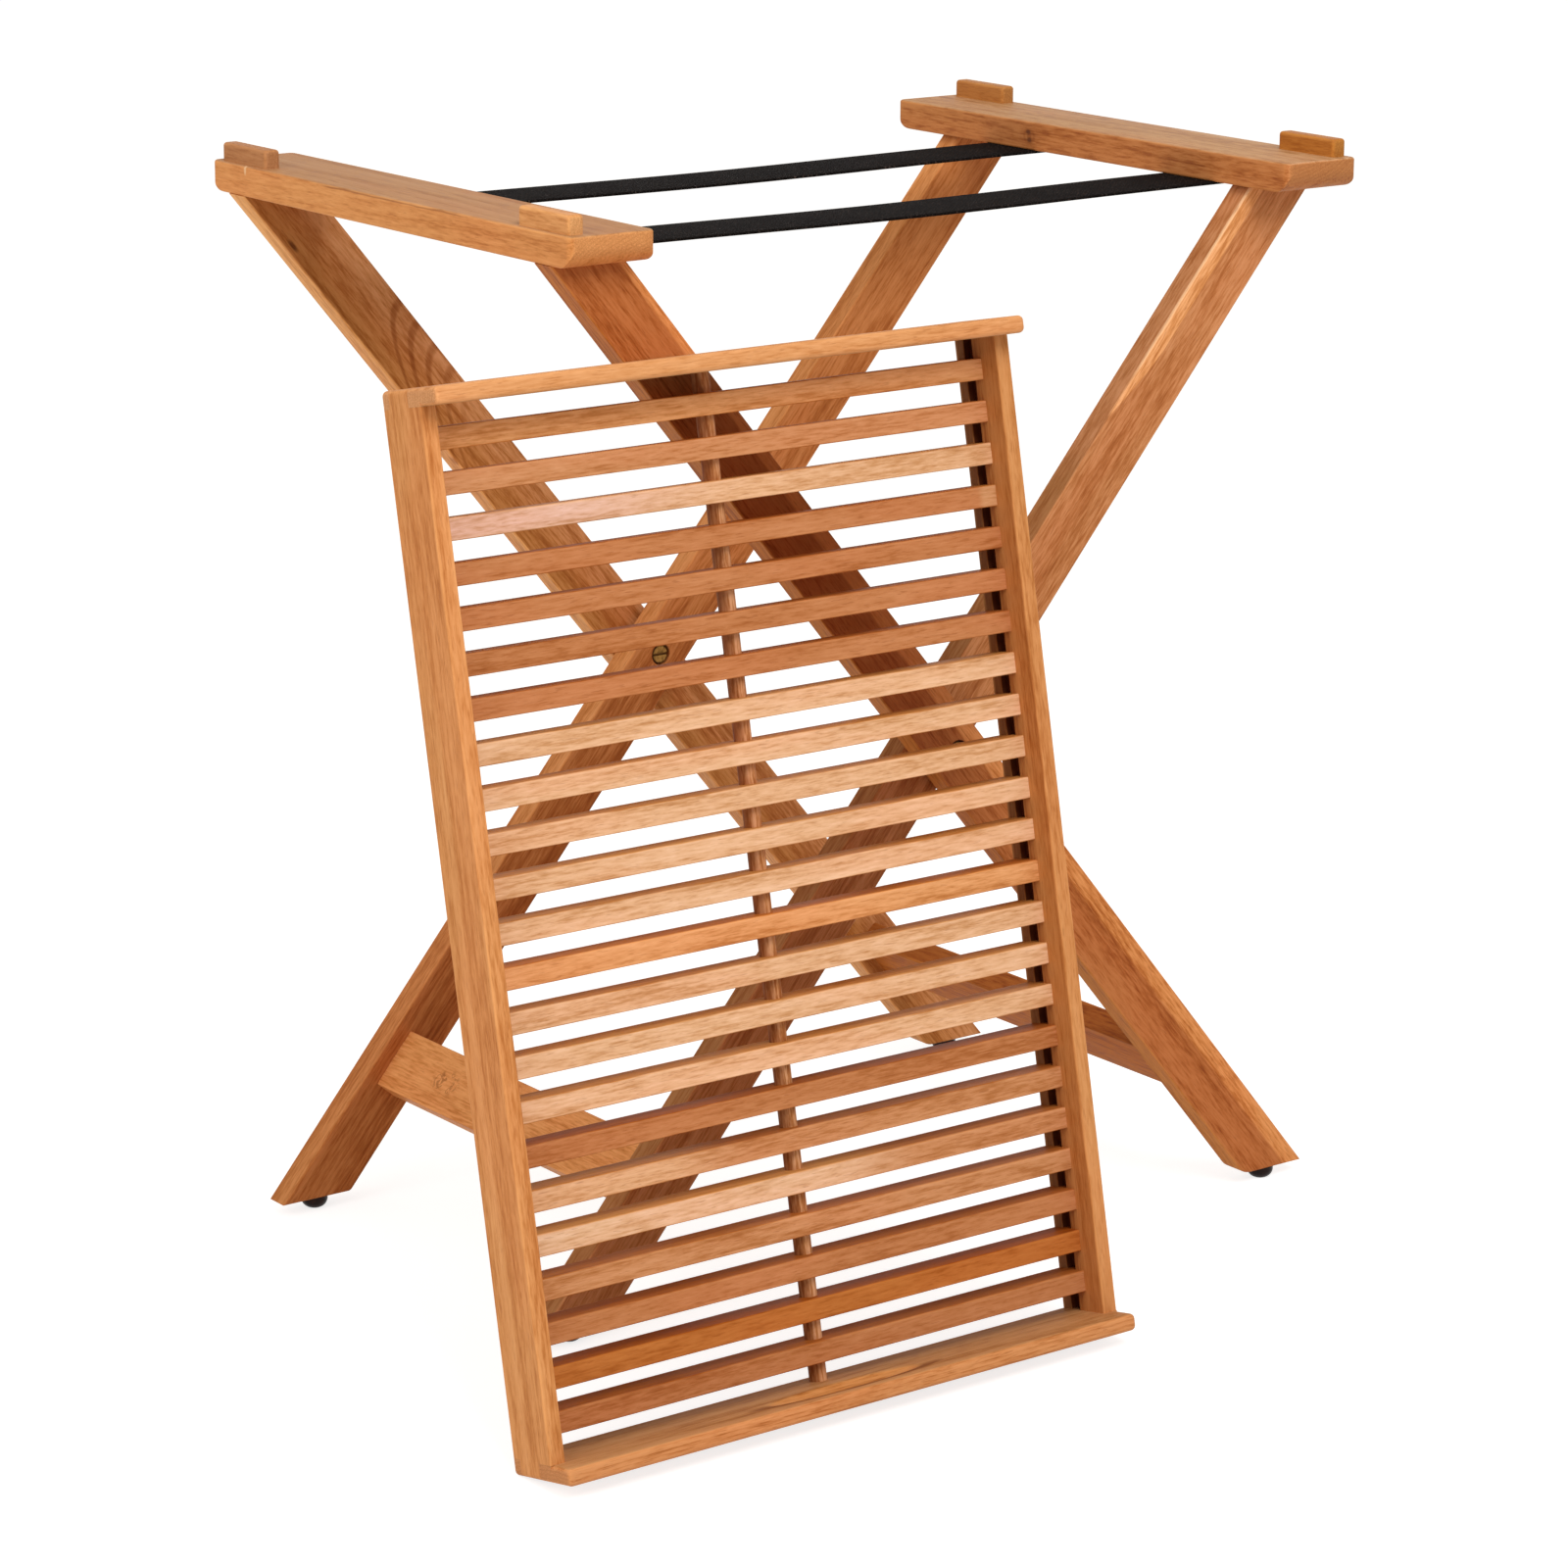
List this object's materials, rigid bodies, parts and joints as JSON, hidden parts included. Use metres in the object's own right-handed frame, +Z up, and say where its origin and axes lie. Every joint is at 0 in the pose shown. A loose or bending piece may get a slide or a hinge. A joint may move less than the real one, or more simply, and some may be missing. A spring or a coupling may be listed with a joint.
{
  "type": "folding tray table",
  "caption": "Hardwood butler's tray table: an X-folding stand with webbing straps and brass pivots, and a loose slatted tray leaning on it.",
  "frame": {"origin": "on the floor, in the middle of the box round the open stand and the leaning tray", "axes": "+X along the straps, +Y along the rails away from the tray, +Z up"},
  "size_m": [0.6966, 0.5429, 0.6745],
  "materials": {
    "stand_wood": "oiled hardwood, satin",
    "tray_wood": "oiled hardwood, satin",
    "slat_wood": "oiled hardwood, satin, varied in tone",
    "webbing": "black woven webbing",
    "brass": "plain brass",
    "glide": "dark moulded plastic"
  },
  "bodies": {
    "outer_frame": {"glide_outer_far": "glide", "glide_outer_near": "glide", "left_rail": "stand_wood", "outer_leg_far": "stand_wood", "outer_leg_near": "stand_wood", "peg_left_far": "stand_wood", "peg_left_near": "stand_wood", "right_stretcher": "stand_wood", "strap_far": "webbing", "strap_near": "webbing"},
    "inner_frame": {"glide_inner_far": "glide", "glide_inner_near": "glide", "inner_leg_far": "stand_wood", "inner_leg_near": "stand_wood", "left_stretcher": "stand_wood", "peg_right_far": "stand_wood", "peg_right_near": "stand_wood", "pivot_barrel_far": "brass", "pivot_barrel_near": "brass", "pivot_screw_far": "brass", "pivot_screw_near": "brass", "pivot_washer_far": "brass", "pivot_washer_near": "brass", "right_rail": "stand_wood"},
    "tray": {"tray_dowel": "slat_wood", "tray_end_bottom": "tray_wood", "tray_end_top": "tray_wood", "tray_side_left": "tray_wood", "tray_side_right": "tray_wood", "tray_slat_01": "slat_wood", "tray_slat_02": "slat_wood", "tray_slat_03": "slat_wood", "tray_slat_04": "slat_wood", "tray_slat_05": "slat_wood", "tray_slat_06": "slat_wood", "tray_slat_07": "slat_wood", "tray_slat_08": "slat_wood", "tray_slat_09": "slat_wood", "tray_slat_10": "slat_wood", "tray_slat_11": "slat_wood", "tray_slat_12": "slat_wood", "tray_slat_13": "slat_wood", "tray_slat_14": "slat_wood", "tray_slat_15": "slat_wood", "tray_slat_16": "slat_wood", "tray_slat_17": "slat_wood", "tray_slat_18": "slat_wood", "tray_slat_19": "slat_wood", "tray_slat_20": "slat_wood", "tray_slat_21": "slat_wood", "tray_slat_22": "slat_wood", "tray_slat_23": "slat_wood"}
  },
  "joints": [
    {"name": "fold", "type": "hinge", "parent": "outer_frame", "child": "inner_frame", "pos_m": [0.05575, 0, 0.326], "axis": [0, -1, 0], "range_deg": [0, 69.6], "deforming": ["strap_near", "strap_far"]},
    {"name": "tray_lift", "type": "slide", "parent": "outer_frame", "child": "tray", "axis": [0, -0.5, 0.866], "range_m": [0, 0.25]}
  ]
}
